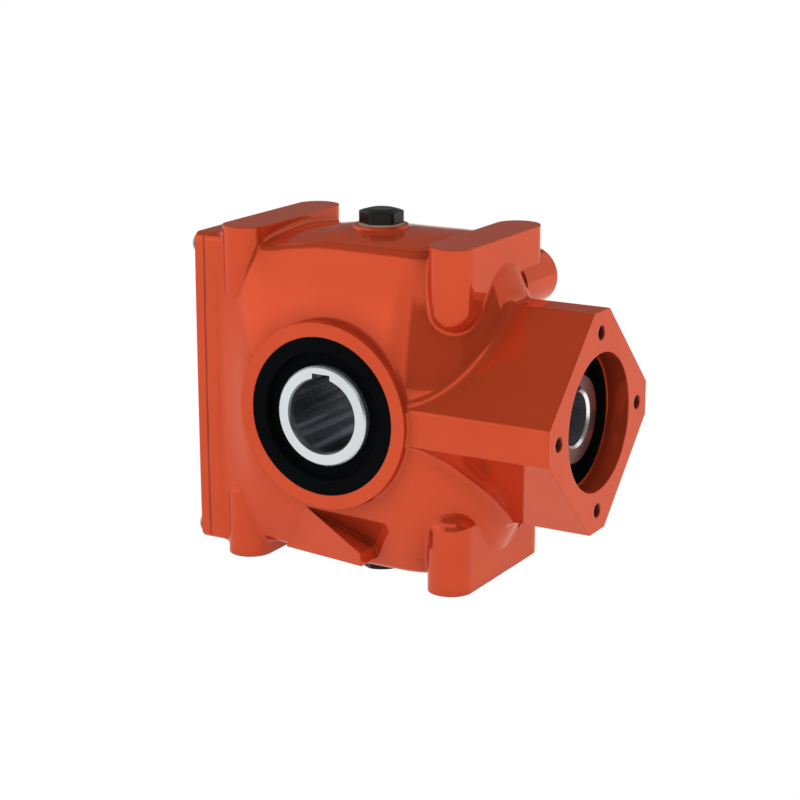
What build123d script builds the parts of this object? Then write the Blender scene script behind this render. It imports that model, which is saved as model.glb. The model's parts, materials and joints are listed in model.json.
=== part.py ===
"""Right angle gearbox: a keyed hollow output shaft crossed by a motor mounted bevel pinion.

Millimetres, +Z up. The origin is the point where the two shaft axes cross. The output
shaft lies along Y, with its front face towards -Y. The pinion lies along X, and the motor
flange faces +X. The gear case opens towards -X, where a bolted cover closes it.
"""
from math import acos, atan, cos, hypot, pi, radians, sin, sqrt, tan

import os

from build123d import *

os.makedirs("parts", exist_ok=True)

# Gear case: a barrel shaped chamber with one round end
chamber_half_width = 66.8
chamber_side_radius = 200.0
chamber_apex = 101.5
chamber_crown_radius = 180.0
chamber_corner_radius = 8.0
chamber_round_x = 37.6
chamber_full_x = -12.0
case_wall = 8.0
cavity_corner_radius = 5.0

# Open end of the case, with the rim that the cover bolts to
rim_face_x = -94.5
rim_inner_x = -87.0
rim_half_width = 50.0
rim_half_height = 97.0
rim_corner_radius = 5.0
rim_width = 16.0
shoulder_end_x = -46.0
crown_start_x = -60.0
nearly_flat_radius = 9000.0

# Mounting lugs above and below, and the round bosses behind
lug_center_x = 70.75
lug_span = 80.5
lug_width = 27.5
lug_height = 102.8
lug_foot = 53.5
lug_end_radius = 11.0
foot_thread_radius = 5.1
foot_thread_depth = 26.0
rear_boss_radius = 17.5
rear_boss_face = 60.0
rear_boss_start = 20.0
rear_boss_drop = 33.8
rear_thread_radius = 5.1
rear_thread_depth = 24.0

# Output boss, hub, bearings and seals
boss_face = 69.85
hub_radius = 30.0
output_bearing_section = 17.5
output_seat_radius = hub_radius + output_bearing_section
boss_wall = 8.5
boss_radius = output_seat_radius + boss_wall
boss_lip = 2.1
hub_setback = 0.25
hub_bore_radius = 22.0
hub_chamfer = 1.0
hub_key_width = 12.0
hub_key_height = 25.3
output_bearing_width = 18.0
output_seal_width = 8.0
output_ring_room = 2.85
seal_lip_recess = 5.0
seal_lip_width = 2.4
seal_wall = 8.5
seal_wall_slope = 1.0
seal_heel = 3.0
running_gap = 0.05
fit_gap = 0.02

# Motor flange, pinion bearings and seal
flange_face_x = 145.66
flange_square = 107.9
flange_flat = 132.0
flange_vertex_radius = 2.5
pilot_radius = 41.275
pilot_depth = 14.0
motor_bolt_circle = 106.4
motor_thread_radius = 4.25
motor_thread_depth = 24.0
motor_thread_chamfer = 0.35
pinion_journal_radius = 27.5
input_bearing_section = 12.5
input_seat_radius = pinion_journal_radius + input_bearing_section
input_shoulder_width = 6.0
input_shoulder_depth = 4.0
input_shoulder_radius = input_seat_radius - input_shoulder_depth
input_tube_wall = 10.0
input_tube_radius = input_seat_radius + input_tube_wall
input_tube_relief = 6.0
input_bearing_width = 13.0
input_spacer_width = 11.0
input_seal_width = 8.0
input_ring_room = 4.66
pinion_shoulder_depth = 4.0
pinion_shoulder_radius = pinion_journal_radius + pinion_shoulder_depth
pinion_back_height = 1.5
pinion_neck_length = 4.0
pinion_setback = 0.2
pinion_bore_radius = 15.875
pinion_bore_depth = 56.0
pinion_key_width = 7.94
pinion_key_height = 19.4
pinion_chamfer = 1.5

# Bevel gear pair, both pitch cones meeting at the origin, flank heights in modules
pinion_teeth = 15
ring_teeth = 30
heel_module = 4.0
pressure_angle = 20.0
face_width = 20.0
flank_backlash = 0.12
root_depth = 1.25
root_overlap = 0.6
flank_heights = (-0.6, -0.2, 0.3, 0.7, 1.0)
ring_back_face = 38.2
ring_hub_wall = 7.0
ring_hub_radius = hub_radius + ring_hub_wall
ring_hub_face = 15.0
gear_key_width = 12.0
gear_key_length = 20.0
gear_key_height = 7.0
gear_key_seat = 4.5
sleeve_wall = 4.5
spacer_wall = 3.0

# Tapered roller bearings
roller_tilt = 12.0
roller_taper = 2.0
roller_gap = 0.06
output_roller_radius = 4.6
output_roller_length = 13.0
output_roller_count = 16
input_roller_radius = 3.4
input_roller_length = 9.0
input_roller_count = 18
bearing_rib = 1.6

# Retaining rings
ring_thickness = 2.0
ring_width = 4.4
pinion_ring_width = 3.4
ring_groove_depth = 1.2
ring_opening = 9.0

# Cover on the open end, with its gasket and screws
gasket_thickness = 0.8
cover_thickness = 7.0
cover_edge_radius = 1.6
cover_screw_inset = 8.0
cover_hole_gap = 0.5
screw_radius = 4.0
screw_head_radius = 7.0
screw_head_height = 4.4
screw_socket_flats = 5.0
screw_socket_depth = 2.4
screw_reach = 18.0
screw_end_gap = 3.0

# Oil plugs on the vertical axis
plug_pad_height = 103.2
plug_pad_radius = 16.2
plug_thread_radius = 8.0
plug_thread_length = 13.0
plug_head_flats = 24.0
plug_head_turn = 30.0
plug_head_height = 8.4
plug_corner_radius = 13.4
plug_crown_radius = 7.5
plug_crown_rise = 1.6
plug_washer_radius = 14.0
plug_washer_thickness = 1.0

# Three cornered gusset under the front boss
gusset_top = (-20.0, -61.0)
gusset_left = (-43.0, -95.0)
gusset_right_top = (24.6, -80.5)
gusset_right_low = (24.6, -89.0)
gusset_reach = 67.0
gusset_facet = ((-20.8, -56.0, -64.8), (-41.3, -43.8, -93.2), (24.4, -66.5, -85.0))

# Cast fillets
neck_fillet = 8.0
lug_fillet = 3.0
boss_fillet = 2.0


def sag(offset, radius):
    """How far an arc of this radius falls away at this offset from its middle."""
    return radius - sqrt(radius * radius - offset * offset)


def ease(x, start_x, end_x, start_value, end_value):
    """A value that changes smoothly from one station to another and is level outside."""
    share = min(max((x - start_x) / (end_x - start_x), 0.0), 1.0)
    return start_value + (end_value - start_value) * share * share * (3 - 2 * share)


def chamber_sizes(x, inset):
    """Half width, height, side and crown curvature and corner of the chamber's section."""
    half_width = ease(x, rim_inner_x, shoulder_end_x, rim_half_width, chamber_half_width)
    apex = ease(x, crown_start_x, chamber_full_x, rim_half_height, chamber_apex)
    side_bend = ease(x, rim_inner_x, shoulder_end_x, 1 / nearly_flat_radius, 1 / chamber_side_radius)
    crown_bend = ease(x, rim_inner_x, shoulder_end_x, 1 / nearly_flat_radius, 1 / chamber_crown_radius)
    corner = ease(x, rim_inner_x, shoulder_end_x, rim_corner_radius, chamber_corner_radius)
    if inset > 0:
        corner = cavity_corner_radius
    return half_width - inset, apex - inset, 1 / side_bend - inset, 1 / crown_bend - inset, corner


def chamber_outline(x, inset):
    """The chamber's section at one station: crowned sides, rounded corners."""
    half_width, apex, side_radius, crown_radius, corner = chamber_sizes(x, inset)
    edge_y = half_width
    edge_z = apex
    for _ in range(12):
        edge_y = half_width - sag(edge_z, side_radius)
        edge_z = apex - sag(edge_y, crown_radius)
    with BuildSketch() as outline:
        with BuildLine():
            ThreePointArc((edge_y, -edge_z), (half_width, 0), (edge_y, edge_z))
            ThreePointArc((edge_y, edge_z), (0, apex), (-edge_y, edge_z))
            ThreePointArc((-edge_y, edge_z), (-half_width, 0), (-edge_y, -edge_z))
            ThreePointArc((-edge_y, -edge_z), (0, -apex), (edge_y, -edge_z))
        make_face()
        fillet(outline.vertices(), corner)
    return outline.sketch


def chamber_stations(start_x):
    """Places along X where the flared shoulder of the chamber is drawn."""
    steps = 9
    return [start_x + (chamber_full_x - start_x) * step / steps for step in range(steps + 1)]


def inset_at(x, wall):
    """Wall at a station: the full rim at the open end, the casting wall further in."""
    if wall == 0:
        return 0
    return ease(x, rim_inner_x, shoulder_end_x, rim_width, wall)


def chamber(wall):
    """The chamber as one solid, or the cavity in it when a wall is given."""
    with BuildPart() as solid:
        for x in chamber_stations(rim_inner_x):
            with BuildSketch(Plane.YZ.offset(x)):
                add(chamber_outline(x, inset_at(x, wall)))
        loft()
        with BuildSketch(Plane.YZ.offset(chamber_full_x)):
            add(chamber_outline(chamber_full_x, wall))
        extrude(amount=chamber_round_x - chamber_full_x)
        with BuildSketch(Plane.YZ.offset(rim_face_x)):
            add(chamber_outline(rim_face_x, inset_at(rim_face_x, wall)))
        extrude(amount=rim_inner_x - rim_face_x)
        with BuildSketch(Plane.YZ.offset(chamber_round_x)):
            add(chamber_outline(chamber_round_x, wall))
            split(bisect_by=Plane.YZ)
        revolve(axis=Axis((chamber_round_x, 0, 0), (0, 0, -1)), revolution_arc=180)
    return solid.part


def finish(name, builder):
    """Label one finished sub-part and write it as its own STEP file."""
    builder.part.label = name
    export_step(builder.part, f"parts/{name}.step")


def toward(direction, axis, distance):
    """Sketch plane at a distance along an axis, facing away from the origin."""
    normals = {"x": (direction, 0, 0), "y": (0, direction, 0), "z": (0, 0, direction)}
    sides = {"x": (0, 1, 0), "y": (1, 0, 0), "z": (1, 0, 0)}
    normal = normals[axis]
    origin = tuple(distance * component for component in normal)
    return Plane(origin=origin, x_dir=sides[axis], z_dir=normal)


# Lines of the input side, from the motor face inward
seal_face_x = flange_face_x - pilot_depth
input_seal_x = seal_face_x - input_seal_width
pinion_end_x = seal_face_x - pinion_setback
outer_bearing_end = input_seal_x - input_ring_room
outer_bearing_start = outer_bearing_end - input_bearing_width
inner_bearing_end = outer_bearing_start - input_spacer_width
input_shoulder_x = inner_bearing_end - input_bearing_width
input_tube_end_x = outer_bearing_start - input_tube_relief

# Lines of the output side, from the faces inward
hub_length = 2 * (boss_face - hub_setback)
output_seal_start = boss_face - output_seal_width
output_bearing_end = output_seal_start - output_ring_room
output_bearing_start = output_bearing_end - output_bearing_width
boss_inner_face = output_bearing_start - boss_lip
rear_boss_height = lug_height - rear_boss_drop

# Corners of each four hole pattern, in the plane that the holes are drilled from
foot_spots = [(x, y) for x in (-lug_center_x, lug_center_x) for y in (-lug_span / 2, lug_span / 2)]
rear_spots = [(x, z) for x in (-lug_center_x, lug_center_x) for z in (-rear_boss_height, rear_boss_height)]
cover_screw_y = rim_half_width - cover_screw_inset
cover_screw_z = rim_half_height - cover_screw_inset
cover_screw_spots = [(y, z) for y in (-cover_screw_y, 0, cover_screw_y) for z in (-cover_screw_z, cover_screw_z)]

# The gasket and the cover lie outside the rim face
cover_inner_x = rim_face_x - gasket_thickness
cover_outer_x = cover_inner_x - cover_thickness


def lug():
    """One mounting lug with its flat face up and its inner end rounded over."""
    with BuildPart() as solid:
        with BuildSketch(Plane.XY.offset(lug_foot)):
            SlotCenterToCenter(lug_span, lug_width, rotation=90)
        extrude(amount=lug_height - lug_foot)
        fillet(solid.edges().group_by(Axis.Z)[0], lug_end_radius)
    return solid.part


def gusset():
    """Three cornered gusset: a prism in front view, cut back along its slanting facet."""
    top, left, right = (Vector(*corner) for corner in gusset_facet)
    outward = (left - top).cross(right - top).normalized()
    with BuildPart() as solid:
        with BuildSketch(Plane.XZ):
            Polygon(gusset_top, gusset_left, gusset_right_low, gusset_right_top, align=None)
        extrude(amount=gusset_reach)
        split(bisect_by=Plane(origin=top, z_dir=outward), keep=Keep.BOTTOM)
    return solid.part


def lugs():
    """The four mounting lugs, two above and two below."""
    with BuildPart() as solid:
        for direction in (-1, 1):
            with Locations(toward(direction, "z", 0)):
                with Locations((-lug_center_x, 0), (lug_center_x, 0)):
                    add(lug())
    return solid.part


def neck():
    """The neck that carries the motor flange: a square prism with its corners cut off."""
    with BuildPart() as solid:
        with BuildSketch(Plane.YZ.offset(flange_face_x)) as flange:
            Rectangle(flange_square, flange_square, rotation=45)
            Rectangle(flange_flat, flange_flat, mode=Mode.INTERSECT)
            fillet(flange.vertices(), flange_vertex_radius)
        extrude(amount=chamber_round_x - flange_face_x)
    return solid.part


def round_bosses(axis, radius, inner_place, face_place):
    """Two round bosses on one axis, one on each side."""
    with BuildPart() as solid:
        for direction in (-1, 1):
            with BuildSketch(toward(direction, axis, inner_place)):
                Circle(radius)
            extrude(amount=face_place - inner_place)
    return solid.part


def blended(base, piece, radius):
    """Two solids joined, with a cast fillet along the edges where they meet."""
    joined = base + piece
    return joined.fillet(radius, new_edges(base, piece, combined=joined))


cast_body = blended(chamber(0), neck(), neck_fillet)
cast_body = blended(cast_body, round_bosses("y", boss_radius, boss_inner_face, boss_face), boss_fillet)
cast_body = blended(cast_body, lugs(), lug_fillet)
cast_body = blended(cast_body, round_bosses("z", plug_pad_radius, 0, plug_pad_height), boss_fillet)

# The gear case
with BuildPart() as housing:
    add(cast_body)
    with BuildSketch(toward(1, "y", rear_boss_start)):
        with Locations(rear_spots):
            Circle(rear_boss_radius)
    extrude(amount=rear_boss_face - rear_boss_start)
    add(gusset())
    add(chamber(case_wall), mode=Mode.SUBTRACT)
    add(round_bosses("y", boss_radius, boss_inner_face, chamber_half_width - case_wall / 2))
    with BuildSketch(Plane.YZ.offset(input_shoulder_x - input_shoulder_width)):
        Circle(input_tube_radius)
    extrude(amount=input_tube_end_x - input_shoulder_x + input_shoulder_width)
    for direction in (-1, 1):
        with BuildSketch(toward(direction, "y", boss_inner_face)):
            Circle(output_seat_radius)
        extrude(amount=boss_face - boss_inner_face, mode=Mode.SUBTRACT)
        with BuildSketch(toward(direction, "y", output_bearing_end)):
            Circle(output_seat_radius + ring_groove_depth)
        extrude(amount=ring_thickness + 2 * fit_gap, mode=Mode.SUBTRACT)
    with BuildSketch(toward(1, "x", input_shoulder_x - input_shoulder_width)):
        Circle(input_shoulder_radius)
    extrude(amount=input_shoulder_width, mode=Mode.SUBTRACT)
    with BuildSketch(toward(1, "x", input_shoulder_x)):
        Circle(input_seat_radius)
    extrude(amount=seal_face_x - input_shoulder_x, mode=Mode.SUBTRACT)
    with BuildSketch(toward(1, "x", outer_bearing_end)):
        Circle(input_seat_radius + ring_groove_depth)
    extrude(amount=ring_thickness + 2 * fit_gap, mode=Mode.SUBTRACT)
    with BuildSketch(toward(1, "x", seal_face_x)):
        Circle(pilot_radius)
    extrude(amount=pilot_depth, mode=Mode.SUBTRACT)
    with Locations(toward(1, "x", flange_face_x)):
        with PolarLocations(motor_bolt_circle / 2, 4):
            CounterSinkHole(
                motor_thread_radius, motor_thread_radius + motor_thread_chamfer, motor_thread_depth
            )
    with Locations(toward(-1, "z", lug_height)):
        with Locations(foot_spots):
            Hole(foot_thread_radius, foot_thread_depth)
    with Locations(toward(1, "y", rear_boss_face)):
        with Locations(rear_spots):
            Hole(rear_thread_radius, rear_thread_depth)
    with Locations(toward(-1, "x", -rim_face_x)):
        with Locations(cover_screw_spots):
            Hole(screw_radius + fit_gap, screw_reach)
    for direction in (-1, 1):
        with Locations(toward(direction, "z", plug_pad_height)):
            Hole(plug_thread_radius + fit_gap, plug_pad_height - chamber_apex + 2 * case_wall)
finish("housing", housing)


def rim_outline():
    """Outline of the open end, shared by the case rim, the gasket and the cover."""
    return chamber_outline(rim_face_x, 0)


# Gasket between the rim and the cover
with BuildPart() as cover_gasket:
    with BuildSketch(Plane.YZ.offset(rim_face_x)):
        add(rim_outline())
        add(chamber_outline(rim_face_x, rim_width), mode=Mode.SUBTRACT)
        with Locations(cover_screw_spots):
            Circle(screw_radius + cover_hole_gap, mode=Mode.SUBTRACT)
    extrude(amount=-gasket_thickness)
finish("cover_gasket", cover_gasket)

# Flat cover plate with eased outer edges
with BuildPart() as side_cover:
    with BuildSketch(Plane.YZ.offset(cover_inner_x)):
        add(rim_outline())
    extrude(amount=-cover_thickness)
    fillet(side_cover.faces().sort_by(Axis.X)[0].edges(), cover_edge_radius)
    with Locations(toward(-1, "x", -cover_outer_x)):
        with Locations(cover_screw_spots):
            Hole(screw_radius + cover_hole_gap, cover_thickness)
finish("side_cover", side_cover)


def cover_screw():
    """One screw with a domed socket head, head up, with its head seat at the origin."""
    with BuildPart() as screw:
        with BuildSketch(Plane.XZ):
            with BuildLine():
                Line((0, screw_head_height), (0, 0))
                Line((0, 0), (screw_head_radius, 0))
                TangentArc((0, screw_head_height), (screw_head_radius, 0), tangent=(1, 0))
            make_face()
        revolve(axis=Axis.Z)
        with BuildSketch(Plane.XY.offset(screw_head_height)):
            RegularPolygon(screw_socket_flats / 2, 6, major_radius=False)
        extrude(amount=-screw_socket_depth, mode=Mode.SUBTRACT)
        with BuildSketch():
            Circle(screw_radius)
        extrude(amount=-(cover_thickness + gasket_thickness + screw_reach - screw_end_gap))
    return screw.part


with BuildPart() as cover_screws:
    with Locations(toward(-1, "x", -cover_outer_x)):
        with Locations(cover_screw_spots):
            add(cover_screw())
finish("cover_screws", cover_screws)


def oil_plug():
    """Oil plug with its head seat at the origin, its low crown up and its thread below."""
    with BuildPart() as plug:
        with BuildSketch(Plane.XZ):
            Polygon(
                (0, 0),
                (plug_corner_radius, 0),
                (plug_corner_radius, plug_head_height - plug_crown_rise),
                (plug_crown_radius, plug_head_height),
                (0, plug_head_height),
                align=None,
            )
        revolve(axis=Axis.Z)
        with BuildSketch():
            RegularPolygon(plug_head_flats / 2, 6, major_radius=False, rotation=plug_head_turn)
        extrude(amount=plug_head_height, mode=Mode.INTERSECT)
        with BuildSketch():
            Circle(plug_thread_radius)
        extrude(amount=-plug_thread_length)
    return plug.part


for plug_name, direction in (("fill_plug", 1), ("drain_plug", -1)):
    with BuildPart() as plug:
        with Locations(toward(direction, "z", plug_pad_height + plug_washer_thickness)):
            add(oil_plug())
    finish(plug_name, plug)
    with BuildPart() as washer:
        with BuildSketch(toward(direction, "z", plug_pad_height)):
            Circle(plug_washer_radius)
            Circle(plug_thread_radius + fit_gap, mode=Mode.SUBTRACT)
        extrude(amount=plug_washer_thickness)
    finish(f"{plug_name}_washer", washer)


def half_plane(axis_plane):
    """Sketch plane through a shaft axis: local x is the radius, local y runs outward."""
    outward = axis_plane.z_dir
    radial = axis_plane.x_dir
    return Plane(origin=axis_plane.origin, x_dir=radial, z_dir=radial.cross(outward))


def turned(name, axis_plane, profile):
    """Ring turned about a shaft axis from corner points given as radius and outward place."""
    with BuildPart() as ring:
        with BuildSketch(half_plane(axis_plane)):
            Polygon(profile, align=None)
        revolve(axis=Axis(axis_plane.origin, axis_plane.z_dir))
    finish(name, ring)


def lip_seal(name, axis_plane, seat_radius, shaft_radius, start, end):
    """Shaft seal: a wide face at the rim and a lip set back around the shaft."""
    rim = seat_radius - fit_gap
    bore = shaft_radius + running_gap
    lip_face = end - seal_lip_recess
    profile = [
        (rim, start),
        (rim, end),
        (bore + seal_wall, end),
        (bore + seal_wall - seal_wall_slope, lip_face),
        (bore, lip_face),
        (bore, lip_face - seal_lip_width),
        (rim - seal_heel, start),
    ]
    turned(name, axis_plane, profile)


def retaining_ring(name, axis_plane, start, inner_radius, outer_radius):
    """Flat spring ring with an opening at its top, lying at a place along a shaft."""
    with BuildPart() as ring:
        with BuildSketch(axis_plane.offset(start + fit_gap)):
            Circle(outer_radius)
            Circle(inner_radius, mode=Mode.SUBTRACT)
            with Locations((0, outer_radius)):
                Rectangle(ring_opening, outer_radius, mode=Mode.SUBTRACT)
        extrude(amount=ring_thickness)
    finish(name, ring)


def roller_bearing(prefix, axis_plane, bore, seat, width, roller_radius, roller_length, count):
    """Tapered roller bearing, narrow end at the plane's origin and wide end along its axis."""
    pitch_radius = (bore + seat) / 2
    tilt = radians(roller_tilt)
    middle = Vector(pitch_radius, width / 2)
    along = Vector(sin(tilt), cos(tilt))
    across = Vector(cos(tilt), -sin(tilt))

    def raceway(side, gap, place):
        """Radius of the line at a gap from the rollers, at a place along the axis."""
        slope = tan(radians(roller_taper))
        ends = [
            middle + along * step + across * side * (roller_radius + gap + step * slope)
            for step in (-width, width)
        ]
        share = (place - ends[0].Y) / (ends[1].Y - ends[0].Y)
        return ends[0].X + (ends[1].X - ends[0].X) * share

    cup = [
        (seat - fit_gap, 0),
        (seat - fit_gap, width),
        (raceway(1, roller_gap, width), width),
        (raceway(1, roller_gap, 0), 0),
    ]
    turned(f"{prefix}_cup", axis_plane, cup)
    rib_start = width / 2 + (roller_length / 2 + roller_gap) * cos(tilt) + roller_radius * sin(tilt)
    cone = [
        (bore + fit_gap, 0),
        (raceway(-1, roller_gap, 0), 0),
        (raceway(-1, roller_gap, rib_start), rib_start),
        (raceway(-1, roller_gap, rib_start) + bearing_rib, rib_start),
        (raceway(-1, roller_gap, rib_start) + bearing_rib, width),
        (bore + fit_gap, width),
    ]
    turned(f"{prefix}_cone", axis_plane, cone)
    axis_line = Axis((pitch_radius, 0, width / 2), (along.X, 0, along.Y))
    roller_plane = Plane(
        origin=(pitch_radius, 0, width / 2), x_dir=(across.X, 0, across.Y), z_dir=(0, -1, 0)
    )
    slope = tan(radians(roller_taper)) * roller_length / 2
    with BuildPart() as roller:
        with BuildSketch(roller_plane):
            with BuildLine():
                Polyline(
                    (0, -roller_length / 2),
                    (roller_radius - slope, -roller_length / 2),
                    (roller_radius + slope, roller_length / 2),
                    (0, roller_length / 2),
                    close=True,
                )
            make_face()
        revolve(axis=axis_line)
    with BuildPart() as rollers:
        with Locations(axis_plane):
            with PolarLocations(0, count):
                add(roller.part)
    finish(f"{prefix}_rollers", rollers)


# Shaft axes, each plane facing the way the shaft looks
front_axis = toward(-1, "y", 0)
rear_axis = toward(1, "y", 0)
input_axis = toward(1, "x", 0)

for end_name, axis_plane in (("front", front_axis), ("rear", rear_axis)):
    inward = Plane(
        origin=axis_plane.z_dir * output_bearing_end, x_dir=axis_plane.x_dir, z_dir=-axis_plane.z_dir
    )
    roller_bearing(
        f"{end_name}_bearing",
        inward,
        hub_radius,
        output_seat_radius,
        output_bearing_width,
        output_roller_radius,
        output_roller_length,
        output_roller_count,
    )
    lip_seal(f"{end_name}_seal", axis_plane, output_seat_radius, hub_radius, output_seal_start, boss_face)
    seat_groove = output_seat_radius + ring_groove_depth - fit_gap
    retaining_ring(
        f"{end_name}_bore_ring", axis_plane, output_bearing_end, seat_groove - ring_width, seat_groove
    )
    hub_groove = hub_radius - ring_groove_depth + fit_gap
    retaining_ring(
        f"{end_name}_hub_ring", axis_plane, output_bearing_end, hub_groove, hub_groove + ring_width
    )

roller_bearing(
    "inner_pinion_bearing",
    toward(1, "x", input_shoulder_x),
    pinion_journal_radius,
    input_seat_radius,
    input_bearing_width,
    input_roller_radius,
    input_roller_length,
    input_roller_count,
)
roller_bearing(
    "outer_pinion_bearing",
    Plane(origin=(outer_bearing_end, 0, 0), x_dir=(0, 1, 0), z_dir=(-1, 0, 0)),
    pinion_journal_radius,
    input_seat_radius,
    input_bearing_width,
    input_roller_radius,
    input_roller_length,
    input_roller_count,
)
lip_seal(
    "input_seal", input_axis, input_seat_radius, pinion_journal_radius, input_seal_x, seal_face_x
)
input_groove = input_seat_radius + ring_groove_depth - fit_gap
retaining_ring(
    "input_bore_ring", input_axis, outer_bearing_end, input_groove - ring_width, input_groove
)
pinion_groove = pinion_journal_radius - ring_groove_depth + fit_gap
retaining_ring(
    "pinion_ring", input_axis, outer_bearing_end, pinion_groove, pinion_groove + pinion_ring_width
)

pinion_spacer_profile = [
    (pinion_journal_radius + fit_gap, inner_bearing_end),
    (pinion_journal_radius + fit_gap, outer_bearing_start),
    (pinion_journal_radius + spacer_wall, outer_bearing_start),
    (pinion_journal_radius + spacer_wall, inner_bearing_end),
]
turned("pinion_spacer", input_axis, pinion_spacer_profile)
sleeve_profile = [
    (hub_radius + fit_gap, -ring_hub_face),
    (hub_radius + sleeve_wall, -ring_hub_face),
    (hub_radius + sleeve_wall, output_bearing_start),
    (hub_radius + fit_gap, output_bearing_start),
]
turned("spacer_sleeve", rear_axis, sleeve_profile)

# Hollow output hub with its keyway, ring grooves and gear key seat
with BuildPart() as output_hub:
    with BuildSketch(Plane.XZ.offset(-hub_length / 2)):
        Circle(hub_radius)
        Circle(hub_bore_radius, mode=Mode.SUBTRACT)
    extrude(amount=hub_length)
    chamfer(output_hub.edges().filter_by(GeomType.CIRCLE), hub_chamfer)
    with BuildSketch(Plane.XZ.offset(-hub_length / 2)):
        with Locations((0, hub_key_height / 2)):
            Rectangle(hub_key_width, hub_key_height)
    extrude(amount=hub_length, mode=Mode.SUBTRACT)
    for axis_plane in (front_axis, rear_axis):
        with BuildSketch(axis_plane.offset(output_bearing_end)):
            Circle(hub_radius + ring_groove_depth)
            Circle(hub_radius - ring_groove_depth, mode=Mode.SUBTRACT)
        extrude(amount=ring_thickness + 2 * fit_gap, mode=Mode.SUBTRACT)
    key_middle = -(ring_hub_face + output_bearing_start) / 2
    with Locations((0, key_middle, -hub_radius)):
        Box(
            gear_key_width + 2 * fit_gap,
            gear_key_length + 2 * fit_gap,
            2 * gear_key_seat,
            mode=Mode.SUBTRACT,
        )
finish("output_hub", output_hub)

key_bottom = -hub_radius + gear_key_seat - fit_gap
with BuildPart() as gear_key:
    with Locations((0, key_middle, key_bottom - gear_key_height / 2)):
        Box(gear_key_width, gear_key_length, gear_key_height)
finish("gear_key", gear_key)


def cone_angle(teeth, mate_teeth):
    """Pitch cone angle of one gear of the pair, in radians."""
    return atan(teeth / mate_teeth)


def tooth_half_width(teeth, mate_teeth, height):
    """Half thickness of a tooth at the heel, at a height above the pitch line."""
    developed_radius = heel_module * teeth / cos(cone_angle(teeth, mate_teeth)) / 2
    developed_teeth = teeth / cos(cone_angle(teeth, mate_teeth))
    alpha = radians(pressure_angle)
    base_radius = developed_radius * cos(alpha)
    radius = developed_radius + height
    local = acos(min(base_radius / radius, 1))
    turn = (tan(alpha) - alpha) - (tan(local) - local)
    return radius * (pi / (2 * developed_teeth) + turn) - flank_backlash


def bevel_tooth(teeth, mate_teeth):
    """One tooth, tapering from heel to toe toward the point where the axes cross."""
    angle = cone_angle(teeth, mate_teeth)
    cone_distance = heel_module * hypot(teeth, mate_teeth) / 2
    toe_share = 1 - face_width / cone_distance
    heights = [-root_depth - root_overlap / heel_module, *flank_heights]
    right = [
        (tooth_half_width(teeth, mate_teeth, height * heel_module), height * heel_module)
        for height in heights
    ]
    left = [(-width, height) for width, height in reversed(right)]
    with BuildPart() as tooth:
        for share in (1, toe_share):
            section_plane = Plane(
                origin=(share * cone_distance * sin(angle), 0, share * cone_distance * cos(angle)),
                x_dir=(0, 1, 0),
                z_dir=(-sin(angle), 0, -cos(angle)),
            )
            with BuildSketch(section_plane):
                Polygon([(x * share, y * share) for x, y in right + left], align=None)
        loft(ruled=True)
    return tooth.part


def root_line(teeth, mate_teeth):
    """Heel and toe points of the root cone, as radius and outward place."""
    angle = cone_angle(teeth, mate_teeth)
    cone_distance = heel_module * hypot(teeth, mate_teeth) / 2
    toe_share = 1 - face_width / cone_distance
    depth = root_depth * heel_module
    radius = cone_distance * sin(angle) - depth * cos(angle)
    place = cone_distance * cos(angle) + depth * sin(angle)
    return (radius, place), (radius * toe_share, place * toe_share)


# Ring gear, keyed to the hub, with its teeth facing the pinion
ring_heel, ring_toe = root_line(ring_teeth, pinion_teeth)
with BuildPart() as ring_gear:
    with BuildSketch(half_plane(front_axis)):
        Polygon(
            (hub_radius + fit_gap, ring_hub_face),
            (ring_hub_radius, ring_hub_face),
            ring_toe,
            ring_heel,
            (ring_heel[0], ring_back_face),
            (ring_hub_radius, ring_back_face),
            (ring_hub_radius, output_bearing_start),
            (hub_radius + fit_gap, output_bearing_start),
            align=None,
        )
    revolve(axis=Axis.Y)
    with Locations(front_axis):
        with PolarLocations(0, ring_teeth):
            add(bevel_tooth(ring_teeth, pinion_teeth))
    with Locations((0, -(ring_hub_face + output_bearing_start) / 2, -hub_radius)):
        Box(
            gear_key_width + 2 * fit_gap,
            output_bearing_start - ring_hub_face,
            2 * (gear_key_height - gear_key_seat + 3 * fit_gap),
            mode=Mode.SUBTRACT,
        )
finish("ring_gear", ring_gear)

# Hollow pinion shaft, its odd number of teeth leaving a gap where a ring tooth meshes
pinion_heel, pinion_toe = root_line(pinion_teeth, ring_teeth)
with BuildPart() as input_pinion:
    with BuildSketch(half_plane(input_axis)):
        Polygon(
            (0, pinion_toe[1]),
            pinion_toe,
            pinion_heel,
            (pinion_heel[0], pinion_heel[1] + pinion_back_height),
            (pinion_shoulder_radius, pinion_heel[1] + pinion_neck_length),
            (pinion_shoulder_radius, input_shoulder_x),
            (pinion_journal_radius, input_shoulder_x),
            (pinion_journal_radius, pinion_end_x),
            (0, pinion_end_x),
            align=None,
        )
    revolve(axis=Axis.X)
    with BuildSketch(input_axis.offset(pinion_end_x)):
        Circle(pinion_bore_radius)
    extrude(amount=-pinion_bore_depth, mode=Mode.SUBTRACT)
    chamfer(input_pinion.faces().sort_by(Axis.X)[-1].edges(), pinion_chamfer)
    with BuildSketch(Plane.YZ.offset(pinion_end_x)):
        with Locations((0, pinion_key_height / 2)):
            Rectangle(pinion_key_width, pinion_key_height)
    extrude(amount=-pinion_bore_depth, mode=Mode.SUBTRACT)
    with BuildSketch(input_axis.offset(outer_bearing_end)):
        Circle(pinion_journal_radius + ring_groove_depth)
        Circle(pinion_journal_radius - ring_groove_depth, mode=Mode.SUBTRACT)
    extrude(amount=ring_thickness + 2 * fit_gap, mode=Mode.SUBTRACT)
    with Locations(input_axis):
        with PolarLocations(0, pinion_teeth):
            add(bevel_tooth(pinion_teeth, ring_teeth))
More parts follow.
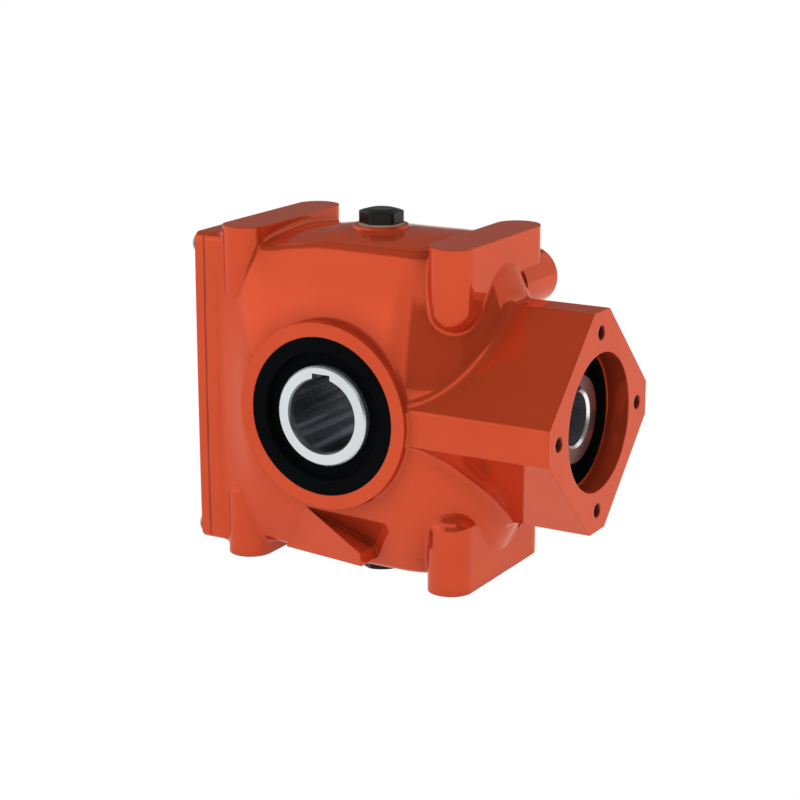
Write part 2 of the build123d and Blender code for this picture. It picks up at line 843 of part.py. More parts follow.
finish("input_pinion", input_pinion)
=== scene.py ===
"""Right angle gearbox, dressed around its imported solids.

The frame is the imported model: the origin is where the two shaft axes cross, +X runs along
the pinion towards the motor, -Y is the front face of the output hub and +Z is up. Sizes
are in metres.
"""

import json
import logging
import math
from dataclasses import dataclass, field
from enum import Enum
from functools import cache
from typing import Any

import bmesh
import bpy
from mathutils import Matrix, Vector

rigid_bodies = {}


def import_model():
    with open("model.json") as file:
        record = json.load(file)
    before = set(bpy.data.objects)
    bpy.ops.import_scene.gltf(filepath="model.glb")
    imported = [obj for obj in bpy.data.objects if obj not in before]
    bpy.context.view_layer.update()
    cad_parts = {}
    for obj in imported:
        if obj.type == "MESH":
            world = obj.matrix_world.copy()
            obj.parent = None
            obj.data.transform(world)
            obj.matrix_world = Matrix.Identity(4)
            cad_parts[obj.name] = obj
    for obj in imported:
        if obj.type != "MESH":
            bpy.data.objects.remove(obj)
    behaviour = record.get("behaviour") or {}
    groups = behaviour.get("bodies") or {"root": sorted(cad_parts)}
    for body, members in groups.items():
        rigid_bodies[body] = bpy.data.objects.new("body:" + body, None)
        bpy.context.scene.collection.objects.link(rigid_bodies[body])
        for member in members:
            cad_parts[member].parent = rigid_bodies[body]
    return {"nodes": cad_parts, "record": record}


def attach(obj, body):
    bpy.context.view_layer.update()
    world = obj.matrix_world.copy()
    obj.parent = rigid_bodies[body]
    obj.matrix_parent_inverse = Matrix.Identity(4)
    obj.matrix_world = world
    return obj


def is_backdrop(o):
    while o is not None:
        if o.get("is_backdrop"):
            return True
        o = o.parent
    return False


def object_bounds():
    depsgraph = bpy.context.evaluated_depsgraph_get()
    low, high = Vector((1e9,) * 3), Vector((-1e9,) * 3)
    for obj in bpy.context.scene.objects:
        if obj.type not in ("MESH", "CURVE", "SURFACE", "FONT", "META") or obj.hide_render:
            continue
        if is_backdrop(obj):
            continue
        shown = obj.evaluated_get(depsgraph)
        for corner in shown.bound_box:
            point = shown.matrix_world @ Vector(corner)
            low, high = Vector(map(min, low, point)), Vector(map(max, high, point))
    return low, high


logging.basicConfig(level=logging.INFO, format="%(name)s: %(message)s")
log = logging.getLogger("gearbox")

Colour = tuple[float, float, float]

# The curve between screen values and the light they stand for.
SCREEN_WHITE = 255
TOE_END = 0.04045
TOE_SLOPE = 12.92
CURVE_OFFSET = 0.055
CURVE_POWER = 2.4

WHITE = (1, 1, 1, 1)
MM_PER_METRE = 1000
HALF_TURN = 180


class Axis(Enum):
    """The axes of the frame that a shaft can lie along."""

    X = "X"
    Y = "Y"
    Z = "Z"

    def vector(self) -> Vector:
        """Give this axis a direction.

        Returns:
            Unit vector along the axis.
        """
        return Vector([float(name == self.value) for name in "XYZ"])


class Mixed(Enum):
    """What a mix node mixes: its data type, then the places of its two inputs and its result."""

    COLOUR = ("RGBA", 6, 7, 2)
    DIRECTION = ("VECTOR", 4, 5, 1)


def linear(red: int, green: int, blue: int) -> Colour:
    """Scene linear colour of a screen colour.

    Args:
        red: Red on a scale of 255.
        green: Green on a scale of 255.
        blue: Blue on a scale of 255.

    Returns:
        The same colour as the shaders count it.
    """
    shares = [part / SCREEN_WHITE for part in (red, green, blue)]
    toe = [share / TOE_SLOPE for share in shares]
    curve = [((share + CURVE_OFFSET) / (1 + CURVE_OFFSET)) ** CURVE_POWER for share in shares]
    return tuple(t if share <= TOE_END else c for share, t, c in zip(shares, toe, curve))


class Graph:
    """Short way to add and wire shader nodes in one tree."""

    NOISE_RANGE = (0.3, 0.7)

    def __init__(self, tree: bpy.types.NodeTree) -> None:
        """Take over a node tree and empty it.

        Args:
            tree: Node tree of a material or of the world.
        """
        self.tree = tree
        self.tree.nodes.clear()

    def add(self, kind: str, **settings: Any) -> bpy.types.Node:
        """Add one node.

        Args:
            kind: Node type without its ShaderNode prefix.
            **settings: Node properties, or input values by socket name with underscores.

        Returns:
            The new node.
        """
        node = self.tree.nodes.new("ShaderNode" + kind)
        for key, value in settings.items():
            if hasattr(node, key):
                setattr(node, key, value)
            else:
                node.inputs[key.replace("_", " ")].default_value = value
        return node

    def link(self, source: bpy.types.NodeSocket, target: bpy.types.NodeSocket) -> None:
        """Wire an output to an input.

        Args:
            source: Output socket.
            target: Input socket.
        """
        self.tree.links.new(source, target)

    def math(self, operation: str, *values: Any) -> bpy.types.NodeSocket:
        """Add a math node whose inputs are sockets or numbers.

        Args:
            operation: Name of the operation.
            *values: Sockets or numbers, in order.

        Returns:
            The result socket.
        """
        node = self.add("Math", operation=operation)
        for socket, value in zip(node.inputs, values):
            if isinstance(value, (int, float)):
                socket.default_value = value
            else:
                self.link(value, socket)
        return node.outputs[0]

    def noise(self, scale: float, detail: float = 3.0, stretch: Colour = (1, 1, 1)) -> bpy.types.NodeSocket:
        """Add noise laid out in object space.

        Args:
            scale: Cycles per metre.
            detail: Number of finer layers.
            stretch: Factor on each axis.

        Returns:
            The noise value.
        """
        place = self.add("TexCoord")
        mapping = self.add("Mapping")
        mapping.inputs["Scale"].default_value = stretch
        noise = self.add("TexNoise", Scale=scale, Detail=detail)
        self.link(place.outputs["Object"], mapping.inputs["Vector"])
        self.link(mapping.outputs["Vector"], noise.inputs["Vector"])
        return noise.outputs["Fac"]

    def span(self, value: bpy.types.NodeSocket, low: float, high: float) -> bpy.types.NodeSocket:
        """Stretch a noise value to run between two limits.

        Args:
            value: Noise value, which stays around one half.
            low: Result at the low end of the noise.
            high: Result at its high end.

        Returns:
            The stretched value.
        """
        node = self.add("MapRange")
        names = ("From Min", "From Max", "To Min", "To Max")
        for name, number in zip(names, (*self.NOISE_RANGE, low, high)):
            node.inputs[name].default_value = number
        self.link(value, node.inputs["Value"])
        return node.outputs["Result"]

    def blend(
        self, share: bpy.types.NodeSocket, first: Any, second: Any, kind: Mixed = Mixed.COLOUR
    ) -> bpy.types.NodeSocket:
        """Mix two colours or two directions by a share.

        Args:
            share: Share of the second one.
            first: Colour or socket at 0.
            second: Colour or socket at 1.
            kind: What is mixed.

        Returns:
            The mixed colour or direction.
        """
        data_type, first_place, second_place, result_place = kind.value
        node = self.add("Mix", data_type=data_type)
        self.link(share, node.inputs[0])
        for place, value in ((first_place, first), (second_place, second)):
            if isinstance(value, tuple):
                node.inputs[place].default_value = (*value, 1)
            else:
                self.link(value, node.inputs[place])
        return node.outputs[result_place]

    def choose(self, share: bpy.types.NodeSocket, *shaders: bpy.types.Node) -> bpy.types.Node:
        """Mix two shaders by a share.

        Args:
            share: Share of the second shader.
            *shaders: The two shaders.

        Returns:
            The mix node.
        """
        node = self.add("MixShader")
        sources = (share, *(shader.outputs[0] for shader in shaders))
        for source, socket in zip(sources, node.inputs):
            self.link(source, socket)
        return node

    def steady(self, normal: bpy.types.NodeSocket, least: float) -> bpy.types.NodeSocket:
        """Keep a face's own normal wherever the smoothed one strays too far from it.

        Args:
            normal: Normal to use elsewhere.
            least: Least cosine between the smoothed normal and the face's own.

        Returns:
            The normal to shade with.
        """
        face = self.add("NewGeometry")
        closeness = self.add("VectorMath", operation="DOT_PRODUCT")
        self.link(face.outputs["Normal"], closeness.inputs[0])
        self.link(face.outputs["True Normal"], closeness.inputs[1])
        strays = self.math("LESS_THAN", closeness.outputs["Value"], least)
        return self.blend(strays, normal, face.outputs["True Normal"], Mixed.DIRECTION)

    def axes(self, socket: bpy.types.NodeSocket) -> dict[Axis, bpy.types.NodeSocket]:
        """Split a vector into its three parts.

        Args:
            socket: Vector socket.

        Returns:
            The parts by axis.
        """
        parts = self.add("SeparateXYZ")
        self.link(socket, parts.inputs[0])
        return {axis: parts.outputs[axis.value] for axis in Axis}


@dataclass(frozen=True)
class Finish:
    """A surface finish with a fine grain and a slow change of tone.

    An edge above 0 rounds the look of sharp edges over that radius. A finish with an edge can
    have a shadow too, which darkens its corners and hollows.
    """

    name: str
    colour: Colour
    darker: Colour
    metallic: float
    rough_low: float
    rough_high: float
    grain: float
    bump: float
    bump_depth: float = 0.00002
    stretch: Colour = (1, 1, 1)
    coat: float = 0.0
    coat_roughness: float = 0.03
    specular: float = 0.5
    tint: Colour = (1, 1, 1)
    edge: float = 0.0
    normal_trust: float = 0.94
    shadow: float = 0.0
    shadow_reach: float = 0.018
    shadow_tone: float = 0.1
    shadow_samples: int = 8
    tone_scale: float = 14.0
    grain_detail: float = 4

    def tone(self, graph: Graph) -> bpy.types.NodeSocket:
        """Colour of the finish from place to place.

        Args:
            graph: Node graph of the material.

        Returns:
            The colour socket.
        """
        share = graph.span(graph.noise(self.tone_scale), 0, 1)
        return graph.blend(share, self.colour, self.darker)

    def shaded(
        self, graph: Graph, colour: bpy.types.NodeSocket, normal: bpy.types.NodeSocket
    ) -> bpy.types.NodeSocket:
        """Darken a colour in corners and hollows.

        Args:
            graph: Node graph of the material.
            colour: Colour in the open.
            normal: Normal of the surface.

        Returns:
            The colour socket.
        """
        nearby = graph.add("AmbientOcclusion", samples=self.shadow_samples, Distance=self.shadow_reach)
        graph.link(normal, nearby.inputs["Normal"])
        closed = graph.math("MULTIPLY", graph.math("SUBTRACT", 1.0, nearby.outputs["AO"]), self.shadow)
        return graph.blend(closed, colour, tuple(part * self.shadow_tone for part in self.darker))

    @cache
    def build(self) -> bpy.types.Material:
        """Make the material, once for all the pieces that share it.

        Returns:
            A node material with this finish.
        """
        material = bpy.data.materials.new(self.name)
        material.use_nodes = True
        graph = Graph(material.node_tree)
        output = graph.add("OutputMaterial")
        shader = graph.add(
            "BsdfPrincipled",
            Metallic=self.metallic,
            Coat_Weight=self.coat,
            Coat_Roughness=self.coat_roughness,
            Specular_IOR_Level=self.specular,
            Specular_Tint=(*self.tint, 1),
        )
        colour = self.tone(graph)
        bump = graph.add("Bump", Strength=self.bump, Distance=self.bump_depth)
        if self.edge > 0:
            rounded = graph.add("Bevel", Radius=self.edge)
            normal = graph.steady(rounded.outputs["Normal"], self.normal_trust)
            graph.link(normal, bump.inputs["Normal"])
            if self.shadow > 0:
                colour = self.shaded(graph, colour, normal)
        graph.link(colour, shader.inputs["Base Color"])
        fine = graph.noise(self.grain, self.grain_detail, self.stretch)
        graph.link(graph.span(fine, self.rough_low, self.rough_high), shader.inputs["Roughness"])
        graph.link(fine, bump.inputs["Height"])
        graph.link(bump.outputs["Normal"], shader.inputs["Normal"])
        graph.link(shader.outputs["BSDF"], output.inputs["Surface"])
        return material


@dataclass(frozen=True)
class BoredFinish(Finish):
    """A turned finish whose bore wall, mouth and chamfer take colours apart from the face, which hold
    painted shade and painted highlights: the streaks along the wall are painted highlights.

    The reaches are radii. The mouth starts at a distance from the middle of the frame. The leans
    are cosines between a face and the bore's axis.
    """

    along: Axis = Axis.Y
    bore_colour: Colour = (0, 0, 0)
    highlight_streak_colour: Colour = (0, 0, 0)
    chamfer_colour: Colour = (1, 1, 1)
    bore_reach: float = 0.026
    chamfer_reach: float = 0.024
    mouth_colour: Colour = (0, 0, 0)
    mouth_start: float = 1.0
    wall_lean: float = 0.3
    face_lean: float = 0.9
    streaks: float = 90.0
    streak_detail: float = 2
    streak_floor: float = -0.7
    streak_stretch: float = 0.05

    def tone(self, graph: Graph) -> bpy.types.NodeSocket:
        """Colour of the finish with painted shade and painted highlights in the bore, told apart by radius
        and by the way a face looks.

        Args:
            graph: Node graph of the material.

        Returns:
            The colour socket.
        """
        place = graph.add("TexCoord")
        spot = graph.axes(place.outputs["Object"])
        facing = graph.axes(place.outputs["Normal"])
        first, second = (spot[axis] for axis in Axis if axis is not self.along)
        squares = [graph.math("MULTIPLY", part, part) for part in (first, second)]
        radius = graph.math("SQRT", graph.math("ADD", *squares))
        lean = graph.math("ABSOLUTE", facing[self.along])
        wall = graph.math("LESS_THAN", lean, self.wall_lean)
        wall = graph.math("MULTIPLY", wall, graph.math("LESS_THAN", radius, self.bore_reach))
        slope = graph.math("LESS_THAN", lean, self.face_lean)
        slope = graph.math("MULTIPLY", slope, graph.math("LESS_THAN", radius, self.chamfer_reach))
        # Painted highlight streaks along the bore wall.
        stretch = tuple(self.streak_stretch if axis is self.along else 1.0 for axis in Axis)
        streak = graph.noise(self.streaks, self.streak_detail, stretch)
        streak = graph.span(streak, self.streak_floor, 1)
        bore = graph.blend(streak, self.bore_colour, self.highlight_streak_colour)
        # The mouth band of a bore gets a painted shade colour of its own.
        place_along = graph.math("ABSOLUTE", spot[self.along])
        mouth = graph.math("GREATER_THAN", place_along, self.mouth_start)
        bore = graph.blend(mouth, bore, self.mouth_colour)
        # The chamfer colour is painted light: a white painted highlight on the pinion, painted shade on the
        # hub.
        colour = graph.blend(slope, super().tone(graph), self.chamfer_colour)
        return graph.blend(wall, colour, bore)


CASE_PAINT = Finish(
    name="case_paint",
    colour=linear(214, 80, 45),
    darker=linear(207, 74, 40),
    metallic=0.5,
    rough_low=0.06,
    rough_high=0.09,
    grain=900,
    bump=0.08,
    coat=0.12,
    specular=0.35,
    tint=(1.0, 0.5, 0.35),
    edge=0.0012,
    shadow=0.9,
)
BLACK_OXIDE = Finish(
    name="black_oxide",
    colour=linear(26, 24, 23),
    darker=linear(18, 17, 17),
    metallic=0.2,
    rough_low=0.22,
    rough_high=0.32,
    grain=1500,
    bump=0.2,
    specular=0.25,
    edge=0.0012,
)
SEAL_RUBBER = Finish(
    name="seal_rubber",
    colour=linear(8, 11, 12),
    darker=linear(5, 7, 8),
    metallic=0.0,
    rough_low=0.5,
    rough_high=0.65,
    grain=2500,
    bump=0.25,
    specular=0.02,
)
SHAFT_STEEL = Finish(
    name="shaft_steel",
    colour=linear(214, 218, 221),
    darker=linear(204, 208, 212),
    metallic=0.9,
    rough_low=0.25,
    rough_high=0.38,
    grain=700,
    bump=0.2,
    stretch=(1, 9, 1),
)
# The hub's bore, mouth and chamfer colours are painted shade, darker than its face; its bright bore streaks
# are painted highlights.
HUB_STEEL_WITH_PAINTED_LIGHT = BoredFinish(
    name="shaft_steel",
    colour=linear(220, 224, 227),
    darker=linear(212, 216, 219),
    metallic=0.9,
    rough_low=0.25,
    rough_high=0.38,
    grain=700,
    bump=0.2,
    bore_colour=linear(92, 97, 100),
    highlight_streak_colour=linear(244, 242, 255),
    chamfer_colour=linear(110, 114, 118),
    mouth_colour=linear(150, 154, 152),
    mouth_start=0.0652,
)
# The pinion's brownish face colour is a painted reflection of the orange case, its white chamfer a painted
# highlight and its bore streaks painted highlights.
PINION_STEEL_WITH_PAINTED_LIGHT = BoredFinish(
    name="gear_steel",
    colour=linear(118, 84, 80),
    darker=linear(108, 76, 72),
    metallic=0.9,
    rough_low=0.25,
    rough_high=0.35,
    grain=800,
    bump=0.15,
    along=Axis.X,
    bore_colour=linear(176, 178, 182),
    highlight_streak_colour=linear(196, 198, 202),
    chamfer_colour=linear(252, 252, 252),
    bore_reach=0.0195,
    chamfer_reach=0.0178,
)
GEAR_STEEL = Finish(
    name="gear_steel",
    colour=linear(170, 172, 176),
    darker=linear(150, 152, 156),
    metallic=0.95,
    rough_low=0.28,
    rough_high=0.4,
    grain=800,
    bump=0.2,
    stretch=(6, 1, 1),
)
BEARING_STEEL = Finish(
    name="bearing_steel",
    colour=linear(200, 203, 207),
    darker=linear(188, 191, 196),
    metallic=1.0,
    rough_low=0.12,
    rough_high=0.2,
    grain=1200,
    bump=0.1,
)
SPRING_STEEL = Finish(
    name="spring_steel",
    colour=linear(104, 106, 112),
    darker=linear(84, 86, 92),
    metallic=0.9,
    rough_low=0.3,
    rough_high=0.42,
    grain=1200,
    bump=0.2,
)
SCREW_STEEL = Finish(
    name="screw_steel",
    colour=linear(158, 162, 164),
    darker=linear(132, 136, 138),
    metallic=0.85,
    rough_low=0.25,
    rough_high=0.4,
    grain=1200,
    bump=0.2,
)
# Bare iron threads in the tapped holes, made dark and reddish as painted shade deep in the holes.
SHADED_TAPPED_IRON = Finish(
    name="tapped_iron_painted_shade",
    colour=linear(86, 52, 50),
    darker=linear(66, 38, 38),
    metallic=0.6,
    rough_low=0.3,
    rough_high=0.45,
    grain=1500,
    bump=0.2,
)
WASHER_FIBRE = Finish(
    name="washer_fibre",
    colour=linear(160, 136, 116),
    darker=linear(142, 118, 98),
    metallic=0.0,
    rough_low=0.55,
    rough_high=0.75,
    grain=1800,
    bump=0.4,
)
GASKET_FIBRE = Finish(
    name="gasket_fibre",
    colour=linear(150, 52, 32),
    darker=linear(132, 46, 30),
    metallic=0.0,
    rough_low=0.7,
    rough_high=0.85,
    grain=1800,
    bump=0.4,
)


@dataclass
class Assembly:
    """A named set of solids that share finishes."""

    nodes: dict[str, bpy.types.Object]
    title: str = "assembly"
    dressing: dict[str, Finish] = field(default_factory=dict)

    def dress(self) -> None:
        """Give every solid of this assembly its finish."""
        for node_name, finish in self.dressing.items():
            mesh = self.nodes[node_name].data
            mesh.materials.clear()
            mesh.materials.append(finish.build())
        log.info("%s: %d solids dressed", self.title, len(self.dressing))


@dataclass
class GearCase(Assembly):
    """Cast case with its cover, gasket, screws and oil plugs."""

    title: str = "gear case"
    dressing: dict[str, Finish] = field(
        default_factory=lambda: {
            "housing": CASE_PAINT,
            "side_cover": CASE_PAINT,
            "cover_gasket": GASKET_FIBRE,
            "cover_screws": SCREW_STEEL,
            "fill_plug": BLACK_OXIDE,
            "drain_plug": BLACK_OXIDE,
            "fill_plug_washer": WASHER_FIBRE,
            "drain_plug_washer": WASHER_FIBRE,
        }
    )


@dataclass
class OutputShaft(Assembly):
    """Hollow output hub with its ring gear, bearings and seals."""

    title: str = "output shaft"
    dressing: dict[str, Finish] = field(
        default_factory=lambda: {
            "output_hub": HUB_STEEL_WITH_PAINTED_LIGHT,
            "spacer_sleeve": SHAFT_STEEL,
            "ring_gear": GEAR_STEEL,
            "gear_key": GEAR_STEEL,
            "front_seal": SEAL_RUBBER,
            "rear_seal": SEAL_RUBBER,
            "front_bore_ring": SPRING_STEEL,
            "rear_bore_ring": SPRING_STEEL,
            "front_hub_ring": SPRING_STEEL,
            "rear_hub_ring": SPRING_STEEL,
            "front_bearing_cup": BEARING_STEEL,
            "front_bearing_cone": BEARING_STEEL,
            "front_bearing_rollers": BEARING_STEEL,
            "rear_bearing_cup": BEARING_STEEL,
            "rear_bearing_cone": BEARING_STEEL,
            "rear_bearing_rollers": BEARING_STEEL,
        }
    )


@dataclass
class InputShaft(Assembly):
    """Hollow pinion with its bearings, spacer, rings and seal."""

    title: str = "input shaft"
    dressing: dict[str, Finish] = field(
        default_factory=lambda: {
            "input_pinion": PINION_STEEL_WITH_PAINTED_LIGHT,
            "pinion_spacer": SHAFT_STEEL,
            "input_seal": SEAL_RUBBER,
            "input_bore_ring": SPRING_STEEL,
            "pinion_ring": SPRING_STEEL,
            "inner_pinion_bearing_cup": BEARING_STEEL,
            "inner_pinion_bearing_cone": BEARING_STEEL,
            "inner_pinion_bearing_rollers": BEARING_STEEL,
            "outer_pinion_bearing_cup": BEARING_STEEL,
            "outer_pinion_bearing_cone": BEARING_STEEL,
            "outer_pinion_bearing_rollers": BEARING_STEEL,
        }
    )


@dataclass
class TappedHoles:
    """Threads in one pattern of tapped holes, laid out by the sizes of its mount.

    The ridge of each thread starts a little below the hole's mouth, and its flanks end just
    inside the wall. Its half width is a share of the pitch.
    """

    mount: dict[str, Any]
    along: Axis
    depth: float
    pitch: float = 0.0015
    crest: float = 0.0006
    buried: float = 0.0002
    half_width: float = 0.45
    turns_free: int = 1
    steps_per_turn: int = 28

    def centres(self) -> list[Vector]:
        """Middle of each hole's mouth.

        Returns:
            The points, in metres.
        """
        sizes = self.mount["dims"]
        middle = Vector(self.mount["pos_m"])
        if "pcd_mm" in sizes:
            reach = sizes["pcd_mm"] / MM_PER_METRE / 2
            turns = [math.tau * hole / sizes["count"] for hole in range(sizes["count"])]
            pairs = [(reach * math.cos(turn), reach * math.sin(turn)) for turn in turns]
        else:
            half_x = sizes["spacing_x_mm"] / MM_PER_METRE / 2
            half_y = sizes["spacing_y_mm"] / MM_PER_METRE / 2
            pairs = [(x, y) for x in (-half_x, half_x) for y in (-half_y, half_y)]
        sides = [axis for axis in Axis if axis is not self.along]
        return [middle + sides[0].vector() * first + sides[1].vector() * second for first, second in pairs]

    def ridge(self, name: str, mouth: Vector) -> bpy.types.Object:
        """Wind one V shaped ridge down a hole.

        Args:
            name: Name of the piece.
            mouth: Middle of the hole's mouth.

        Returns:
            The ridge.
        """
        inward = -Vector(self.mount["axis"])
        first, second = (axis.vector() for axis in Axis if axis is not self.along)
        wall = self.mount["dims"]["hole_r_mm"] / MM_PER_METRE
        root = wall + self.buried
        profile = ((root, -self.half_width), (wall - self.crest, 0.0), (root, self.half_width))
        turns = int(self.depth / self.pitch) - 2 * self.turns_free
        points = []
        for step in range(turns * self.steps_per_turn + 1):
            turn = step / self.steps_per_turn
            side = first * math.cos(math.tau * turn) + second * math.sin(math.tau * turn)
            for radius, shift in profile:
                sunk = self.pitch * (self.turns_free + turn + shift)
                points.append(mouth + side * radius + inward * sunk)
        count = len(profile)
        rings = len(points) // count
        faces = [tuple(reversed(range(count))), tuple(range((rings - 1) * count, rings * count))]
        for ring in range(rings - 1):
            for corner in range(count):
                after = (corner + 1) % count
                low = ring * count
                faces.append((low + corner, low + after, low + count + after, low + count + corner))
        mesh = bpy.data.meshes.new(name)
        mesh.from_pydata(points, [], faces)
        shape = bmesh.new()
        shape.from_mesh(mesh)
        bmesh.ops.recalc_face_normals(shape, faces=shape.faces)
        shape.to_mesh(mesh)
        shape.free()
        piece = bpy.data.objects.new(name, mesh)
        bpy.context.scene.collection.objects.link(piece)
        return piece

    def build(self) -> list[bpy.types.Object]:
        """Make the threads of every hole in the pattern and let them ride on the case.

        Returns:
            The ridges.
        """
        pieces = []
        for number, mouth in enumerate(self.centres(), start=1):
            piece = self.ridge(f"{self.mount['name']}_thread_{number}", mouth)
            piece.data.materials.append(SHADED_TAPPED_IRON.build())
            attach(piece, "case")
            pieces.append(piece)
        log.info("%s: %d threads cut", self.mount["name"], len(pieces))
        return pieces


@dataclass
class Viewpoint:
    """The camera, at the angle that the object was seen from.

    Lens and sensor are in millimetres, distances in metres and angles in radians.
    """

    azimuth: float = math.radians(30.112)
    elevation: float = math.radians(15.005)
    distance: float = 1.25856
    aside: float = 0.011076
    lowered: float = 0.005837
    lens: float = 92.78
    sensor: float = 36.0
    far: float = 20.0

    def build(self) -> bpy.types.Object:
        """Make the camera.

        Returns:
            The camera, which the scene uses.
        """
        across = Vector((math.cos(self.azimuth), math.sin(self.azimuth), 0))
        back = Vector(
            (
                math.sin(self.azimuth) * math.cos(self.elevation),
                -math.cos(self.azimuth) * math.cos(self.elevation),
                math.sin(self.elevation),
            )
        )
        up = back.cross(across)
        data = bpy.data.cameras.new("camera")
        data.lens = self.lens
        data.sensor_width = self.sensor
        data.clip_end = self.far
        camera = bpy.data.objects.new("camera", data)
        bpy.context.scene.collection.objects.link(camera)
        place = back * self.distance + across * self.aside - up * self.lowered
        turn = Matrix((across, up, back)).transposed().to_4x4()
        camera.matrix_world = Matrix.Translation(place) @ turn
        bpy.context.scene.camera = camera
        log.info("camera placed %.3f m away", self.distance)
        return camera


@dataclass(frozen=True)
class Shade:
    """A soft patch, darker or brighter than the white surroundings that gloss shows.

    Angles are in degrees. The azimuth is 0 in front of the hub and grows towards the motor.
    """

    azimuth: float
    elevation: float
    half_width: float
    half_height: float
    brightness: float
    softness: float = 0.08

    def share(
        self, graph: Graph, azimuth: bpy.types.NodeSocket, elevation: bpy.types.NodeSocket
    ) -> bpy.types.NodeSocket:
        """Work out how far a direction lies inside this patch.

        Args:
            graph: Node graph of the world.
            azimuth: Azimuth of the direction, in degrees.
            elevation: Elevation of the direction, in degrees.

        Returns:
            A socket that is 1 inside the patch and 0 outside.
        """
        across = graph.math("SUBTRACT", azimuth, self.azimuth)
        across = graph.math("WRAP", across, HALF_TURN, -HALF_TURN)
        across = graph.math("DIVIDE", graph.math("ABSOLUTE", across), self.half_width)
        rise = graph.math("ABSOLUTE", graph.math("SUBTRACT", elevation, self.elevation))
        rise = graph.math("DIVIDE", rise, self.half_height)
        edge = graph.add("MapRange", interpolation_type="SMOOTHSTEP")
        edge.inputs["From Min"].default_value = 1 + self.softness
        edge.inputs["From Max"].default_value = 1 - self.softness
        graph.link(graph.math("MAXIMUM", across, rise), edge.inputs["Value"])
        return edge.outputs["Result"]


@dataclass(frozen=True)
class Lamp:
    """A soft square lamp that looks at the gearbox and doesn't show in its gloss."""

    name: str
    place: tuple[float, float, float]
    power: float
    size: float = 1.2

    def hang(self) -> bpy.types.Object:
        """Add the lamp to the scene.

        Returns:
            The lamp.
        """
        data = bpy.data.lights.new(self.name, "AREA")
        data.energy = self.power
        data.size = self.size
        lamp = bpy.data.objects.new(self.name, data)
        lamp.location = self.place
        lamp.rotation_mode = "QUATERNION"
        lamp.rotation_quaternion = (-Vector(self.place)).to_track_quat("-Z", "Y")
        lamp.visible_glossy = False
        bpy.context.scene.collection.objects.link(lamp)
        return lamp


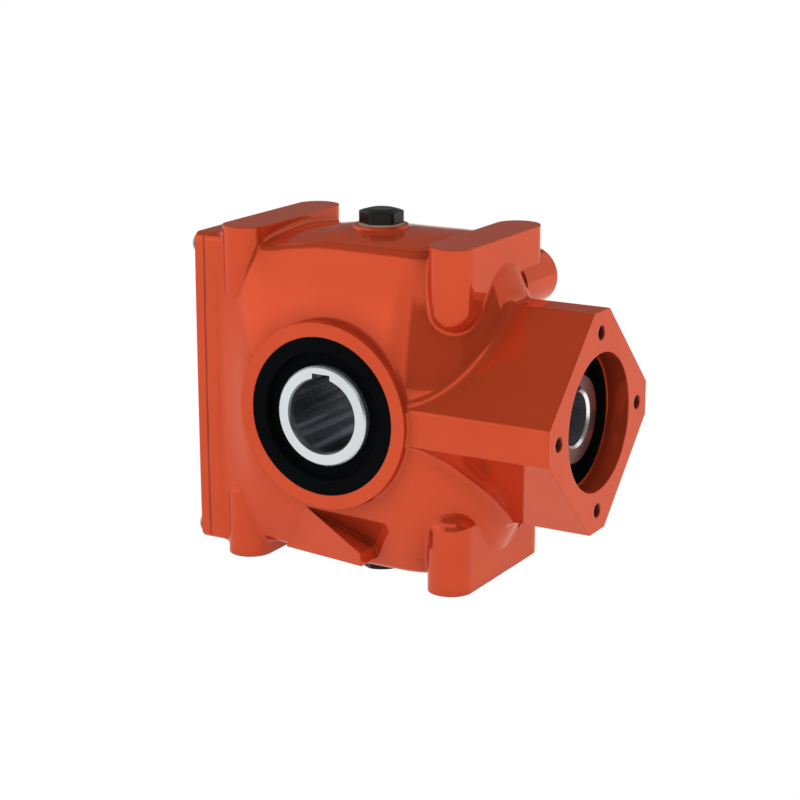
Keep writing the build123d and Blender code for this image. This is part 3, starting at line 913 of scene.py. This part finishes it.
@dataclass
class Studio:
    """Floor, lamps and surroundings.

    The shades are, in order: low between hub and motor, overhead, past the motor, behind on
    the cover's side, behind on the motor's side, a pale one at the front left and a dull strip
    nearly straight ahead.
    """

    floor_height: float
    floor_gap: float = 0.0004
    floor_size: float = 6.0
    floor_tone: float = 0.8
    even_light: float = 0.75
    lamps: tuple[Lamp, ...] = (
        Lamp(name="key_lamp", place=(-0.9, -1.6, 1.6), power=12),
        Lamp(name="side_lamp", place=(1.8, -0.6, 0.9), power=8),
    )
    shades: tuple[Shade, ...] = (
        Shade(azimuth=35.5, elevation=-12, half_width=37.5, half_height=40, brightness=0.12),
        Shade(azimuth=0, elevation=90, half_width=400, half_height=46, brightness=0.12, softness=0.12),
        Shade(azimuth=86, elevation=25, half_width=28, half_height=25, brightness=0.05),
        Shade(azimuth=-152, elevation=32, half_width=28, half_height=34, brightness=0.18, softness=0.2),
        Shade(azimuth=145, elevation=0, half_width=32, half_height=30, brightness=0.7, softness=0.3),
        Shade(azimuth=-55, elevation=8, half_width=28, half_height=13, brightness=1.3, softness=0.6),
        Shade(azimuth=-12, elevation=5, half_width=11, half_height=24, brightness=0.76, softness=0.7),
    )

    def floor(self) -> bpy.types.Object:
        """Make the pale floor under the gearbox.

        Returns:
            The floor, marked as stage.
        """
        half = self.floor_size / 2
        mesh = bpy.data.meshes.new("floor")
        corners = [(-half, -half, 0), (half, -half, 0), (half, half, 0), (-half, half, 0)]
        mesh.from_pydata(corners, [], [(0, 1, 2, 3)])
        floor = bpy.data.objects.new("floor", mesh)
        floor.location.z = self.floor_height - self.floor_gap
        bpy.context.scene.collection.objects.link(floor)
        material = bpy.data.materials.new("floor_white")
        material.use_nodes = True
        graph = Graph(material.node_tree)
        output = graph.add("OutputMaterial")
        path = graph.add("LightPath")
        matte = graph.add("BsdfDiffuse", Color=(self.floor_tone, self.floor_tone, self.floor_tone, 1))
        glow = graph.add("Emission", Color=WHITE, Strength=1.0)
        seen = graph.math("MAXIMUM", path.outputs["Is Camera Ray"], path.outputs["Is Glossy Ray"])
        seen = graph.math("MAXIMUM", seen, path.outputs["Is Transmission Ray"])
        graph.link(graph.choose(seen, matte, glow).outputs[0], output.inputs["Surface"])
        mesh.materials.append(material)
        floor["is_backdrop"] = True
        return floor

    def surroundings(self) -> None:
        """Make the world: white to look at, even light, and what the gloss reflects."""
        world = bpy.data.worlds.new("studio")
        bpy.context.scene.world = world
        world.use_nodes = True
        graph = Graph(world.node_tree)
        output = graph.add("OutputWorld")
        path = graph.add("LightPath")
        seen = graph.add("Background", Color=WHITE, Strength=1.0)
        light = graph.add("Background", Color=WHITE, Strength=self.even_light)
        gloss = graph.add("Background", Color=WHITE)
        graph.link(self.gloss_strength(graph), gloss.inputs["Strength"])
        camera = graph.math("MAXIMUM", path.outputs["Is Camera Ray"], path.outputs["Is Transmission Ray"])
        plain = graph.choose(camera, light, seen)
        mix = graph.choose(path.outputs["Is Glossy Ray"], plain, gloss)
        graph.link(mix.outputs[0], output.inputs["Surface"])

    def gloss_strength(self, graph: Graph) -> bpy.types.NodeSocket:
        """Brightness of the surroundings in gloss: white, changed by each shade in turn.

        Args:
            graph: Node graph of the world.

        Returns:
            The strength socket.
        """
        place = graph.add("TexCoord")
        parts = graph.axes(place.outputs["Generated"])
        forward = graph.math("MULTIPLY", parts[Axis.Y], -1.0)
        azimuth = graph.math("DEGREES", graph.math("ARCTAN2", parts[Axis.X], forward))
        elevation = graph.math("DEGREES", graph.math("ARCSINE", parts[Axis.Z]))
        strength: bpy.types.NodeSocket | float = 1.0
        for shade in self.shades:
            share = shade.share(graph, azimuth, elevation)
            change = graph.math("MULTIPLY", share, shade.brightness - 1)
            strength = graph.math("MULTIPLY", graph.math("ADD", change, 1.0), strength)
        return strength

    def build(self) -> None:
        """Set up floor, lamps and surroundings."""
        self.floor()
        for lamp in self.lamps:
            lamp.hang()
        self.surroundings()
        bpy.context.scene.view_settings.view_transform = "Standard"
        log.info("studio lit")


def clear_scene() -> None:
    """Remove what a new file starts with."""
    for thing in list(bpy.data.objects):
        bpy.data.objects.remove(thing)


def main() -> None:
    """Build the gearbox's looks in order."""
    clear_scene()
    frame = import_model()
    solid_box = [list(corner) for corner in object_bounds()]
    for assembly in (GearCase, OutputShaft, InputShaft):
        assembly(frame["nodes"]).dress()
    mounts = {mount["name"]: mount for mount in frame["record"]["mounts"]}
    TappedHoles(mounts["motor_bolts"], Axis.X, depth=0.024, pitch=0.00125).build()
    TappedHoles(mounts["foot_bolts"], Axis.Z, depth=0.026).build()
    TappedHoles(mounts["rear_bolts"], Axis.Y, depth=0.024).build()
    Viewpoint().build()
    Studio(floor_height=solid_box[0][2]).build()


if __name__ == "__main__":
    main()
